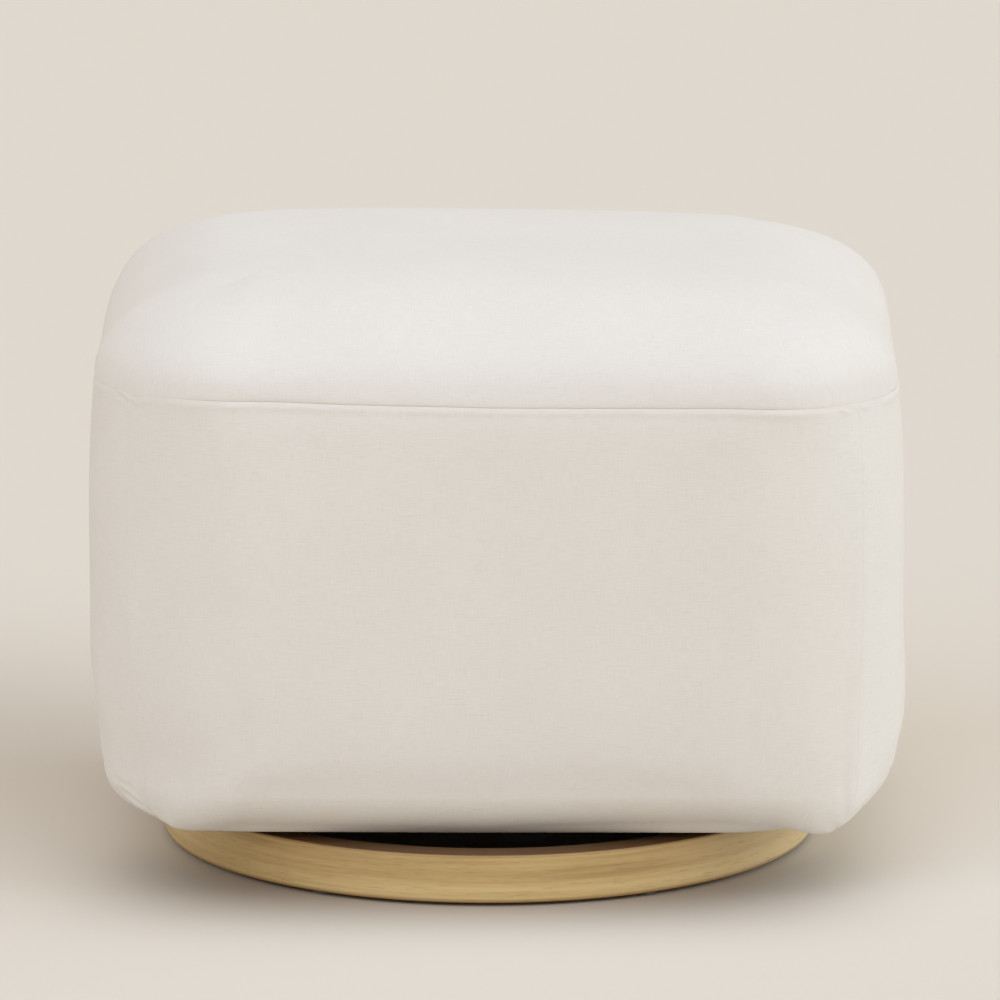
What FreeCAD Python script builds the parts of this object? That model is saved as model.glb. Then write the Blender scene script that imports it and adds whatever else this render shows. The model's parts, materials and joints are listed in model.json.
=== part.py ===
import FreeCAD, Part
import math
import os

# Gliding ottoman: an upholstered box that hangs from four swing links inside a round wooden ring base.
# Millimetres. X points to the right, Y to the back, Z up. The origin is on the floor at the centre.

# Upholstered body
body_width = 600.0
body_depth = 500.0
body_top = 452.0
corner_radius = 105.0        # plan radius at the widest height
corner_tightening = 0.6      # plan radius lost per millimetre of inset
belly = 12.0                 # how far each side swells at half height
lower_edge_radius = 36.0
crown_height = 71.0          # from where the sides start to turn over, up to the top
crown_power = 4.0            # a larger power gives a flatter top
seam_drop = 81.0             # from the top of the body down to the seam
cover_thickness = 1.5
wadding_thickness = 5.0
edge_foam = 2.5              # foam over the lower edge of the box
top_padding = 80.0           # from the deck to the top of the cover
hem_width = 32.0             # cover turned in under the box
lining_thickness = 0.8
lining_margin = 16.0

# Ring base
ring_radius = 245.5
ring_wall = 22.0
ring_height = 36.0
ring_edge_radius = 2.0
glide_radius = 9.0
glide_height = 2.4
glide_count = 6
bar_width = 40.0
bar_thickness = 6.0
bar_margin = 2.3             # foot of a stand beyond the outer edge of a bar
bar_seat_clearance = 0.5
bar_inset = 7.5              # wood left outside the ends of the bars
ring_screw_radius = 2.0
ring_screw_head_radius = 4.0
ring_screw_length = 22.0
ring_screw_spacing = 20.0

# Box inside the upholstery
ring_gap = 6.3               # air between the ring and the box
base_board_thickness = 15.0
deck_thickness = 15.0
board_thickness = 12.0
former_thickness = 6.0
post_size = 30.0
bearer_width = 24.0
bearer_height = 50.0
bearer_spacing = 200.0
cross_rail_width = 25.0
cross_rail_height = 45.0

# Glide mechanism
link_length = 150.0
swing = 18.0                 # degrees each way
link_width = 25.0
link_thickness = 6.0
plate_thickness = 4.0
stand_foot_width = 34.0
stand_head_room = 18.0       # plate above the upper pivots
stand_shoulder = 35.0        # how far below the upper pivots the plate narrows
rail_height = 40.0
rail_foot_width = 28.0
pivot_rise = 24.0            # lower pivots above the underside of the seat rails
pivot_radius = 5.0
pivot_clearance = 0.05
bush_radius = 8.0
bush_length = 8.0
side_gap = 0.5
washer_thickness = 4.0
washer_radius = 9.0
head_radius = 8.5
head_thickness = 6.0
button_thickness = 3.0
button_radius = 8.0
buffer_radius = 8.0
buffer_length = 12.0
buffer_drop = 60.0           # along the link, from the upper pivot
buffer_gap = 0.3
buffer_screw_radius = 3.0
stretcher_radius = 11.0
stretcher_wall = 2.0
stretcher_drop = 85.0        # below the upper pivots
stand_margin = 1.0           # plate beyond the buffers
running_room = 7.0           # between the stands and the opening under the seat
rail_ledge = 5.3             # base board in front of the cross rails
post_gap = 1.0

# Fasteners
bolt_radius = 4.0
bolt_head_radius = 9.0
bolt_head_thickness = 4.0
bolt_clearance = 0.25
foot_bolt_radius = 3.0
foot_bolt_head_radius = 6.0
foot_bolt_spacing = 20.0
foot_nut_radius = 5.5
foot_nut_thickness = 5.0
nut_radius = 7.5
nut_thickness = 6.5
staple_crown = 12.0
staple_wire = 1.2
staple_proud = 0.5
staple_leg = 9.0
staple_pitch = 60.0

# Heights and places that follow from those
half_width = body_width / 2
half_depth = body_depth / 2
ring_top = glide_height + ring_height
body_bottom = ring_top + ring_gap
middle_height = (body_bottom + body_top) / 2
half_height = (body_top - body_bottom) / 2
panel_corner_x = half_width - corner_radius
panel_corner_y = half_depth - corner_radius
bottom_inset = belly + lower_edge_radius
frame_inset = bottom_inset + cover_thickness + edge_foam
frame_half_width = half_width - frame_inset
frame_half_depth = half_depth - frame_inset
frame_corner = corner_radius - corner_tightening * lower_edge_radius - cover_thickness - edge_foam
frame_bottom = body_bottom + cover_thickness
board_bottom = frame_bottom + base_board_thickness
deck_top = body_top - top_padding
deck_bottom = deck_top - deck_thickness
bar_top = glide_height + bar_thickness
foot_top = bar_top + plate_thickness
post_reach = (frame_corner - former_thickness - side_gap) * math.sqrt(0.5) - post_size / 2
post_x = frame_half_width - frame_corner + post_reach
post_y = frame_half_depth - frame_corner + post_reach
opening_half_width = post_x - post_size / 2 - post_gap
rail_inside = opening_half_width - rail_foot_width
rail_outside = rail_inside + plate_thickness
bush_outside = rail_inside - side_gap
bush_inside = bush_outside - bush_length
link_inside = (bush_inside + bush_outside - link_thickness) / 2
stand_outside = bush_inside - side_gap - washer_thickness
stand_inside = stand_outside - plate_thickness
cross_rail_inside = frame_half_depth - board_thickness - cross_rail_width
rail_bolt_x = (rail_outside + opening_half_width) / 2
rail_bolt_y = cross_rail_inside + cross_rail_width / 2
lower_pivot = board_bottom + pivot_rise
upper_pivot = lower_pivot + link_length
swing_sin = math.sin(math.radians(swing))
swing_cos = math.cos(math.radians(swing))
travel = link_length * swing_sin
opening_half_depth = cross_rail_inside - rail_ledge
opening_corner = post_size
stand_half_depth = opening_half_depth - running_room - travel
buffer_side = link_width / 2 + buffer_radius + buffer_gap
buffer_y = stand_half_depth - stand_margin - buffer_radius
buffer_z = upper_pivot - buffer_drop * swing_cos + buffer_side * swing_sin
pivot_y = buffer_y - buffer_drop * swing_sin - buffer_side * swing_cos
bar_y = stand_half_depth - bar_margin - bar_width / 2
seam_height = body_top - seam_drop
hem_inner_x = half_width - bottom_inset - hem_width
hem_inner_y = half_depth - bottom_inset - hem_width


def block(x0, x1, y0, y1, z0, z1):
    """A box from its lowest to its highest corner."""
    return Part.makeBox(x1 - x0, y1 - y0, z1 - z0, FreeCAD.Vector(x0, y0, z0))


def rod(radius, x0, x1, y, z):
    """A round bar along X."""
    return Part.makeCylinder(radius, x1 - x0, FreeCAD.Vector(x0, y, z), FreeCAD.Vector(1, 0, 0))


def post(radius, x, y, z0, z1):
    """A round bar along Z."""
    return Part.makeCylinder(radius, z1 - z0, FreeCAD.Vector(x, y, z0))


def hexagon(radius, length, start, direction):
    """A hexagonal head or nut, with its corners at the radius."""
    points = []
    for i in range(7):
        turn = math.radians(60 * i)
        points.append(FreeCAD.Vector(radius * math.cos(turn), radius * math.sin(turn), 0))
    solid = Part.Face(Part.makePolygon(points)).extrude(FreeCAD.Vector(0, 0, length))
    solid.Placement = FreeCAD.Placement(start, FreeCAD.Rotation(FreeCAD.Vector(0, 0, 1), direction))
    return solid


def rounded_outline(a, b, r, z):
    """A rounded rectangle of half width a and half depth b at height z."""
    edges = []
    for i in range(4):
        turn = FreeCAD.Rotation(FreeCAD.Vector(0, 0, 1), 90 * i)
        u, v = (a, b) if i % 2 == 0 else (b, a)
        start = turn.multVec(FreeCAD.Vector(u, r - v, z))
        end = turn.multVec(FreeCAD.Vector(u, v - r, z))
        bend = r * (1 - math.sqrt(0.5))
        middle = turn.multVec(FreeCAD.Vector(u - bend, v - bend, z))
        far = turn.multVec(FreeCAD.Vector(u - r, v, z))
        edges.append(Part.makeLine(start, end))
        edges.append(Part.Arc(end, middle, far).toShape())
    return Part.Wire(edges)


def rounded_block(a, b, r, z0, z1):
    """An upright plate or block with rounded corners."""
    return Part.Face(rounded_outline(a, b, r, z0)).extrude(FreeCAD.Vector(0, 0, z1 - z0))


def both_sides(solid):
    """The solid and its mirror image on the left."""
    return solid, solid.mirror(FreeCAD.Vector(0, 0, 0), FreeCAD.Vector(1, 0, 0))


def four_corners(solid):
    """The solid and its mirror images, one in each quarter."""
    found = []
    for one in both_sides(solid):
        found.append(one)
        found.append(one.mirror(FreeCAD.Vector(0, 0, 0), FreeCAD.Vector(0, 1, 0)))
    return found


def profile_points(skin):
    """Inset and height of each section of the body, evenly enough spaced for a smooth loft."""
    low = body_bottom + skin
    edge = lower_edge_radius - skin
    shoulder = body_top - crown_height
    points = []
    for degrees in (0, 22.5, 45, 67.5, 90):
        turn = math.radians(degrees)
        points.append((edge * (1 - math.sin(turn)), low + edge * (1 - math.cos(turn))))
    start = low + edge
    for share in (0.07, 0.17, 0.3, 0.45, 0.6, 0.74, 0.85, 0.93):
        points.append((0.0, start + share * (shoulder - start)))
    for degrees in (0, 15, 30, 45, 57, 67, 75, 82, 87):
        turn = math.radians(degrees)
        inset = (half_depth - skin) * (1 - math.cos(turn) ** (2 / crown_power))
        points.append((inset, shoulder + (crown_height - skin) * math.sin(turn)))
    return points


def body_form(skin):
    """The upholstered body as one solid, this far inside the outer face of the cover."""
    sections = []
    for inset, z in profile_points(skin):
        swell = belly * ((z - middle_height) / half_height) ** 2
        a = half_width - skin - inset - swell
        b = half_depth - skin - inset - swell
        r = min(max(corner_radius - skin - corner_tightening * inset, 20.0), 0.95 * b)
        sections.append(rounded_outline(a, b, r, z))
    return Part.makeLoft(sections, True, False)


def wedge(axis, sign):
    """The part of space that one side panel takes, out to the middle of its two corners."""
    far = body_width
    x, y = panel_corner_x, panel_corner_y
    if axis == "x":
        corners = [(x, -y), (x + far, -y - far), (x + far, y + far), (x, y)]
    else:
        corners = [(-x, y), (-x - far, y + far), (x + far, y + far), (x, y)]
    points = [FreeCAD.Vector(sign * u, sign * v, 0) for u, v in corners + corners[:1]]
    return Part.Face(Part.makePolygon(points)).extrude(FreeCAD.Vector(0, 0, body_top))


def above(z):
    """Everything over a height."""
    return block(-body_width, body_width, -body_depth, body_depth, z, 2 * body_top)


def side_panels(solid, ending):
    """Cuts a band round the body into its four side pieces."""
    sides = (("front", "y", -1), ("back", "y", 1), ("left", "x", -1), ("right", "x", 1))
    pieces = {}
    for side, axis, sign in sides:
        pieces[ending.replace("SIDE", side)] = solid.common(wedge(axis, sign))
    return pieces


def cover():
    """Five sewn panels; the lower edge turns in under the box."""
    shell = body_form(0).cut(body_form(cover_thickness))
    opening = block(-hem_inner_x, hem_inner_x, -hem_inner_y, hem_inner_y, 0, frame_bottom + 1)
    pieces = {"cover_top": shell.common(above(seam_height))}
    pieces.update(side_panels(shell.cut(above(seam_height)).cut(opening), "cover_SIDE"))
    return pieces


def padding():
    """Wadding and foam over the deck, and foam on the four sides."""
    inner = body_form(cover_thickness)
    core = body_form(cover_thickness + wadding_thickness)
    over_deck = inner.common(above(deck_top))
    box = rounded_block(frame_half_width, frame_half_depth, frame_corner, frame_bottom - 1, deck_top)
    pieces = {"top_foam": core.common(above(deck_top))}
    pieces["top_wadding"] = over_deck.cut(core)
    pieces.update(side_panels(inner.cut(above(deck_top)).cut(box), "SIDE_foam"))
    return pieces


def base_ring():
    """Solid wood ring with seats for the cross bars cut in its underside."""
    outer = post(ring_radius, 0, 0, glide_height, ring_top)
    rims = [e for e in outer.Edges if e.Curve.TypeId == "Part::GeomCircle"]
    outer = outer.makeFillet(ring_edge_radius, rims)
    ring = outer.cut(post(ring_radius - ring_wall, 0, 0, 0, ring_top + 1))
    for sign in (-1, 1):
        ring = ring.cut(bar_blank(sign, bar_seat_clearance))
    for x, y in ring_screw_places():
        ring = ring.cut(post(ring_screw_radius, x, y, glide_height, glide_height + ring_screw_length))
    return ring


def bar_blank(sign, clearance):
    """One flat cross bar, with ends that follow the ring."""
    y = sign * bar_y
    half = bar_width / 2 + clearance
    bar = block(-ring_radius, ring_radius, y - half, y + half, glide_height, bar_top)
    return bar.common(post(ring_radius - bar_inset + clearance, 0, 0, 0, bar_top))


def ring_screw_places():
    """Two screws through each end of each bar, on the middle of the ring's wall."""
    places = []
    middle = ring_radius - ring_wall / 2
    for sign in (-1, 1):
        for step in (-0.5, 0.5):
            y = sign * (bar_y + step * ring_screw_spacing)
            x = math.sqrt(middle ** 2 - y ** 2)
            places += [(x, y), (-x, y)]
    return places


def countersunk(head, shank, x, y, z0, z1):
    """A countersunk screw, head down."""
    depth = head - shank
    cone = Part.makeCone(head, shank, depth, FreeCAD.Vector(x, y, z0))
    return cone.fuse(post(shank, x, y, z0 + depth / 2, z1)).removeSplitter()


def foot_bolt_places():
    """Two bolts through each stand foot into each bar."""
    places = []
    x = stand_outside - stand_foot_width / 2
    for side in (-1, 1):
        for sign in (-1, 1):
            for step in (-0.5, 0.5):
                places.append((side * x, sign * (bar_y + step * foot_bolt_spacing)))
    return places


def cross_bar(sign):
    """Flat steel bar across the ring."""
    bar = bar_blank(sign, 0)
    for x, y in ring_screw_places():
        bar = bar.cut(countersunk(ring_screw_head_radius, ring_screw_radius, x, y, glide_height, bar_top))
    for x, y in foot_bolt_places():
        bar = bar.cut(countersunk(foot_bolt_head_radius, foot_bolt_radius, x, y, glide_height, bar_top))
    return bar


def floor_glides():
    """Low pads under the ring."""
    pads = []
    middle = ring_radius - ring_wall / 2
    for i in range(glide_count):
        turn = 2 * math.pi * i / glide_count
        pads.append(post(glide_radius, middle * math.cos(turn), middle * math.sin(turn), 0, glide_height))
    return pads


def base_fixings():
    """Screws up into the ring, and the bolts and nuts of the stands."""
    screws = []
    for x, y in ring_screw_places():
        top = glide_height + ring_screw_length
        screws.append(countersunk(ring_screw_head_radius, ring_screw_radius, x, y, glide_height, top))
    bolts = []
    nuts = []
    up = FreeCAD.Vector(0, 0, 1)
    for x, y in foot_bolt_places():
        top = foot_top + foot_nut_thickness
        bolts.append(countersunk(foot_bolt_head_radius, foot_bolt_radius, x, y, glide_height, top))
        nut = hexagon(foot_nut_radius, foot_nut_thickness, FreeCAD.Vector(x, y, foot_top), up)
        nuts.append(nut.cut(post(foot_bolt_radius, x, y, foot_top, top)))
    return {"ring_screws": screws, "stand_bolts": bolts, "stand_nuts": nuts}


def right_stand():
    """Steel side plate with a foot on the cross bars; it carries the upper pivots and the buffers."""
    top = upper_pivot + stand_head_room
    shoulder = upper_pivot - stand_shoulder
    narrow = pivot_y + stand_head_room
    outline = [(-stand_half_depth, bar_top), (stand_half_depth, bar_top), (stand_half_depth, shoulder),
               (narrow, top), (-narrow, top), (-stand_half_depth, shoulder)]
    points = [FreeCAD.Vector(stand_inside, y, z) for y, z in outline + outline[:1]]
    plate = Part.Face(Part.makePolygon(points)).extrude(FreeCAD.Vector(plate_thickness, 0, 0))
    high_edges = [e for e in plate.Edges if e.BoundBox.XLength > 1 and e.BoundBox.ZMin > bar_top + 1]
    plate = plate.makeFillet(stand_head_room / 2, high_edges)
    foot = block(stand_outside - stand_foot_width, stand_outside, -stand_half_depth, stand_half_depth,
                 bar_top, foot_top)
    stand = plate.fuse(foot).removeSplitter()
    for y in (-pivot_y, pivot_y):
        stand = stand.cut(rod(pivot_radius, stand_inside, stand_outside, y, upper_pivot))
    for y in (-buffer_y, buffer_y):
        stand = stand.cut(rod(buffer_screw_radius, stand_inside, stand_outside, y, buffer_z))
    for x, y in foot_bolt_places():
        stand = stand.cut(post(foot_bolt_radius, x, y, bar_top, foot_top))
    return stand


def stretcher():
    """Tube that ties the two stands together."""
    z = upper_pivot - stretcher_drop
    tube = rod(stretcher_radius, -stand_inside, stand_inside, 0, z)
    return tube.cut(rod(stretcher_radius - stretcher_wall, -stand_inside, stand_inside, 0, z))


def upper_pivots():
    """Bolts, spacing washers and nuts of the four upper pivots."""
    out = FreeCAD.Vector(1, 0, 0)
    under = FreeCAD.Vector(stand_inside - head_thickness, pivot_y, upper_pivot)
    tip = rail_inside + head_thickness
    bolt = hexagon(head_radius, head_thickness, under, out)
    bolt = bolt.fuse(rod(pivot_radius, stand_inside, tip, pivot_y, upper_pivot)).removeSplitter()
    washer = rod(washer_radius, stand_outside, stand_outside + washer_thickness, pivot_y, upper_pivot)
    washer = washer.cut(rod(pivot_radius, stand_outside, tip, pivot_y, upper_pivot))
    nut = hexagon(head_radius, head_thickness, FreeCAD.Vector(rail_inside, pivot_y, upper_pivot), out)
    nut = nut.cut(rod(pivot_radius, rail_inside, tip, pivot_y, upper_pivot))
    return {"upper_pivot_bolts": four_corners(bolt), "upper_pivot_washers": four_corners(washer),
            "upper_pivot_nuts": four_corners(nut)}


def buffers():
    """Rubber buffers that stop the links at each end of the travel, and their screws."""
    end = stand_outside + buffer_length
    rubber = rod(buffer_radius, stand_outside, end, buffer_y, buffer_z)
    rubber = rubber.cut(rod(buffer_screw_radius, stand_outside, end, buffer_y, buffer_z))
    head = rod(1.6 * buffer_screw_radius, end, end + buffer_screw_radius / 2, buffer_y, buffer_z)
    screw = head.fuse(rod(buffer_screw_radius, stand_inside, end, buffer_y, buffer_z)).removeSplitter()
    return {"travel_buffers": four_corners(rubber), "buffer_screws": four_corners(screw)}


def swing_link(y):
    """Flat steel link on the right, with an eye at each end."""
    half = link_width / 2
    end = link_inside + link_thickness
    link = block(link_inside, end, y - half, y + half, lower_pivot, upper_pivot)
    for z in (lower_pivot, upper_pivot):
        link = link.fuse(rod(half, link_inside, end, y, z))
    link = link.removeSplitter()
    for z in (lower_pivot, upper_pivot):
        link = link.cut(rod(bush_radius, link_inside, end, y, z))
    return link


def link_bushes(y):
    """Four plain bushes, one in each eye of the two links on one axis."""
    bushes = []
    for z in (lower_pivot, upper_pivot):
        bush = rod(bush_radius, bush_inside, bush_outside, y, z)
        bush = bush.cut(rod(pivot_radius + pivot_clearance, bush_inside, bush_outside, y, z))
        bushes += both_sides(bush)
    return bushes


def right_rail():
    """Steel angle under the seat box; it carries the lower pivots."""
    web_half = cross_rail_inside - 2 * side_gap
    foot_half = frame_half_depth - board_thickness - side_gap
    web = block(rail_inside, rail_outside, -web_half, web_half, board_bottom, board_bottom + rail_height)
    foot = block(rail_inside, rail_inside + rail_foot_width, -foot_half, foot_half,
                 board_bottom, board_bottom + plate_thickness)
    rail = web.fuse(foot).removeSplitter()
    for y in (-pivot_y, pivot_y):
        rail = rail.cut(rod(pivot_radius, rail_inside, rail_outside, y, lower_pivot))
    hole_radius = bolt_radius + bolt_clearance
    for y in (-rail_bolt_y, rail_bolt_y):
        rail = rail.cut(post(hole_radius, rail_bolt_x, y, board_bottom, board_bottom + plate_thickness))
    return rail


def lower_pivots():
    """Button-head bolts and nuts of the four lower pivots."""
    start = bush_inside - side_gap
    tip = rail_outside + head_thickness
    button = rod(button_radius, start - button_thickness, start, pivot_y, lower_pivot)
    bolt = button.fuse(rod(pivot_radius, start, tip, pivot_y, lower_pivot)).removeSplitter()
    place = FreeCAD.Vector(rail_outside, pivot_y, lower_pivot)
    nut = hexagon(head_radius, head_thickness, place, FreeCAD.Vector(1, 0, 0))
    nut = nut.cut(rod(pivot_radius, rail_outside, tip, pivot_y, lower_pivot))
    return {"lower_pivot_bolts": four_corners(bolt), "lower_pivot_nuts": four_corners(nut)}


def rail_bolt_top():
    """Upper face of the cross rails."""
    return board_bottom + plate_thickness + cross_rail_height


def rail_bolts():
    """Bolts that clamp the base board, the steel rails and the cross rails, with their nuts."""
    head_top = frame_bottom + bolt_head_thickness
    tip = rail_bolt_top() + nut_thickness
    head = post(bolt_head_radius, rail_bolt_x, rail_bolt_y, frame_bottom, head_top)
    bolt = head.fuse(post(bolt_radius, rail_bolt_x, rail_bolt_y, head_top, tip)).removeSplitter()
    place = FreeCAD.Vector(rail_bolt_x, rail_bolt_y, rail_bolt_top())
    nut = hexagon(nut_radius, nut_thickness, place, FreeCAD.Vector(0, 0, 1))
    nut = nut.cut(post(bolt_radius, rail_bolt_x, rail_bolt_y, rail_bolt_top(), tip))
    return {"rail_bolts": four_corners(bolt), "rail_nuts": four_corners(nut)}


def cross_rail(sign):
    """Solid wood rail that rests on the ends of the steel rails."""
    half = post_x - post_size / 2 - side_gap
    low = board_bottom + plate_thickness
    inside = sign * cross_rail_inside
    outside = sign * (frame_half_depth - board_thickness)
    rail = block(-half, half, min(inside, outside), max(inside, outside), low, rail_bolt_top())
    for x in (-rail_bolt_x, rail_bolt_x):
        rail = rail.cut(post(bolt_radius + bolt_clearance, x, sign * rail_bolt_y, low, rail_bolt_top()))
    return rail


def mechanism_opening(z0, z1):
    """The space that the stands pass through and swing in, as seen from above."""
    return rounded_block(opening_half_width, opening_half_depth, opening_corner, z0, z1)


def base_board():
    """Plywood frame round the opening that the stands stand in."""
    board = rounded_block(frame_half_width, frame_half_depth, frame_corner, frame_bottom, board_bottom)
    board = board.cut(mechanism_opening(frame_bottom, board_bottom))
    for x in (-rail_bolt_x, rail_bolt_x):
        for y in (-rail_bolt_y, rail_bolt_y):
            board = board.cut(post(bolt_radius + bolt_clearance, x, y, frame_bottom, board_bottom))
            board = board.cut(post(bolt_head_radius, x, y, frame_bottom, frame_bottom + bolt_head_thickness))
    return board


def box_boards():
    """Upright boards, curved corner formers and corner posts between the base board and the deck."""
    x = frame_half_width
    y = frame_half_depth
    side_half = y - frame_corner
    end_half = x - frame_corner
    pieces = {}
    pieces["left_board"] = block(-x, board_thickness - x, -side_half, side_half, board_bottom, deck_bottom)
    pieces["right_board"] = block(x - board_thickness, x, -side_half, side_half, board_bottom, deck_bottom)
    pieces["front_board"] = block(-end_half, end_half, -y, board_thickness - y, board_bottom, deck_bottom)
    pieces["back_board"] = block(-end_half, end_half, y - board_thickness, y, board_bottom, deck_bottom)
    former = post(frame_corner, end_half, side_half, board_bottom, deck_bottom)
    former = former.cut(post(frame_corner - former_thickness, end_half, side_half, board_bottom, deck_bottom))
    former = former.common(block(end_half, x, side_half, y, board_bottom, deck_bottom))
    pieces["corner_formers"] = four_corners(former)
    half = post_size / 2
    upright = block(post_x - half, post_x + half, post_y - half, post_y + half, board_bottom, deck_bottom)
    pieces["corner_posts"] = four_corners(upright)
    return pieces


def deck():
    """Plywood deck under the foam, and the two bearers that carry it."""
    inside = frame_half_depth - board_thickness
    left = bearer_spacing / 2 - bearer_width / 2
    right = bearer_spacing / 2 + bearer_width / 2
    bearer = block(left, right, -inside, inside, deck_bottom - bearer_height, deck_bottom)
    board = rounded_block(frame_half_width, frame_half_depth, frame_corner, deck_bottom, deck_top)
    return {"deck_board": board, "deck_bearers": both_sides(bearer)}


def dust_cover():
    """Black lining under the box, open where the stands pass through."""
    low = body_bottom - lining_thickness
    a = half_width - bottom_inset - lining_margin
    b = half_depth - bottom_inset - lining_margin
    sheet = rounded_block(a, b, frame_corner - lining_margin, low, body_bottom)
    return sheet.cut(mechanism_opening(low, body_bottom))


def staple_places():
    """Where the lining is stapled, between its opening and the hem of the cover."""
    along_x = opening_half_width - opening_corner
    along_y = opening_half_depth - opening_corner
    line_x = (opening_half_width + hem_inner_x) / 2
    line_y = (opening_half_depth + hem_inner_y) / 2
    places = []
    count = int(along_x // staple_pitch)
    for i in range(-count, count + 1):
        places += [(i * staple_pitch, line_y, True), (i * staple_pitch, -line_y, True)]
    count = int(along_y // staple_pitch)
    for i in range(-count, count + 1):
        places += [(line_x, i * staple_pitch, False), (-line_x, i * staple_pitch, False)]
    return places


def staples():
    """Wire staples that hold the lining to the base board."""
    found = []
    low = body_bottom - lining_thickness - staple_proud
    top = low + staple_leg
    half = staple_crown / 2
    thin = staple_wire / 2
    for x, y, lengthwise in staple_places():
        staple = block(-half, half, -thin, thin, low, low + staple_proud)
        for end in (-half, half - staple_wire):
            staple = staple.fuse(block(end, end + staple_wire, -thin, thin, low, top))
        staple = staple.removeSplitter()
        if not lengthwise:
            staple.rotate(FreeCAD.Vector(0, 0, 0), FreeCAD.Vector(0, 0, 1), 90)
        staple.translate(FreeCAD.Vector(x, y, 0))
        found.append(staple)
    return found


def all_pieces():
    """Every node of the ottoman by its name."""
    pieces = {"base_ring": base_ring(), "floor_glides": floor_glides()}
    pieces["cross_bar_front"] = cross_bar(-1)
    pieces["cross_bar_back"] = cross_bar(1)
    pieces.update(base_fixings())
    pieces["stand_right"], pieces["stand_left"] = both_sides(right_stand())
    pieces["stand_stretcher"] = stretcher()
    pieces.update(upper_pivots())
    pieces.update(buffers())
    for name, y in (("front", -pivot_y), ("rear", pivot_y)):
        right, left = both_sides(swing_link(y))
        pieces[name + "_link_right"] = right
        pieces[name + "_link_left"] = left
        pieces[name + "_link_bushes"] = link_bushes(y)
    pieces["seat_rail_right"], pieces["seat_rail_left"] = both_sides(right_rail())
    pieces.update(lower_pivots())
    pieces["cross_rail_front"] = cross_rail(-1)
    pieces["cross_rail_back"] = cross_rail(1)
    pieces.update(rail_bolts())
    pieces["base_board"] = base_board()
    pieces.update(box_boards())
    pieces.update(deck())
    pieces.update(padding())
    pieces.update(cover())
    pieces["dust_cover"] = dust_cover()
    pieces["staples"] = staples()
    return pieces


os.makedirs("parts", exist_ok=True)
for node, found in all_pieces().items():
    solids = found if isinstance(found, (list, tuple)) else found.Solids
    shape = solids[0] if len(solids) == 1 else Part.makeCompound(list(solids))
    shape.exportStep("parts/" + node + ".step")
    print(node, len(shape.Solids), "solids,", round(shape.Volume / 1000, 1), "cm3, valid", shape.isValid())
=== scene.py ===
import json
import math

import bmesh
import bpy
import numpy as np
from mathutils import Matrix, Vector, noise

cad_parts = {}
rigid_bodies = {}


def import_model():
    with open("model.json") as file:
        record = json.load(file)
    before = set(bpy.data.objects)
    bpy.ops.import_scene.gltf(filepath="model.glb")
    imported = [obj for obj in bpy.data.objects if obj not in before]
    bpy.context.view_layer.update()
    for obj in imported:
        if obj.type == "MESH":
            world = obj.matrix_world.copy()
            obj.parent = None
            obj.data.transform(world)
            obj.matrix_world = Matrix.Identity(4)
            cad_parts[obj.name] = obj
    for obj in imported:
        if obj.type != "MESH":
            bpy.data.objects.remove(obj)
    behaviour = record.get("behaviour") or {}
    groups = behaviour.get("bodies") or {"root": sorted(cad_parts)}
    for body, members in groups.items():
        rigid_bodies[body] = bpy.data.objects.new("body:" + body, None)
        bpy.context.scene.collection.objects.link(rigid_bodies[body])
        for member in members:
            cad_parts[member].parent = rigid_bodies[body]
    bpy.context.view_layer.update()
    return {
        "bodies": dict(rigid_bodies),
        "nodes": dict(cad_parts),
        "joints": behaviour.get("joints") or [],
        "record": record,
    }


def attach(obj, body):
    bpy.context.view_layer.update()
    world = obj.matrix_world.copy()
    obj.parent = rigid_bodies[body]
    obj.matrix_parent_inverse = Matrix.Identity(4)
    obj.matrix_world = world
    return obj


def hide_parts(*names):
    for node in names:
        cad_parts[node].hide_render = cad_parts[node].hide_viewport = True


for spare in list(bpy.data.objects):
    bpy.data.objects.remove(spare)

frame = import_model()
nodes = frame["nodes"]
print("frame loaded, pieces:", len(nodes))


class Wire:  # one output of a node, which takes part in Python sums
    def __init__(self, shader, socket):
        self.shader, self.socket = shader, socket

    def math(self, operation, first, second=None):
        sockets = {0: first} if second is None else {0: first, 1: second}
        return self.shader.add("Math", {"operation": operation}, sockets)

    def __add__(self, other):
        return self.math("ADD", self, other)

    def __radd__(self, other):
        return self.math("ADD", other, self)

    def __sub__(self, other):
        return self.math("SUBTRACT", self, other)

    def __rsub__(self, other):
        return self.math("SUBTRACT", other, self)

    def __mul__(self, other):
        return self.math("MULTIPLY", self, other)

    def __rmul__(self, other):
        return self.math("MULTIPLY", other, self)

    def __truediv__(self, other):
        return self.math("DIVIDE", self, other)

    def __pow__(self, other):
        return self.math("POWER", self, other)

    def __abs__(self):
        return self.math("ABSOLUTE", self)

    def sine(self):
        return self.math("SINE", self)

    def above(self, level, soft):  # 0 below the level, 1 above it, with a soft edge
        return self.shader.add("MapRange", {"interpolation_type": "SMOOTHSTEP"},
                               {0: self, 1: level - soft, 2: level + soft, 3: 0.0, 4: 1.0})


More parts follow.
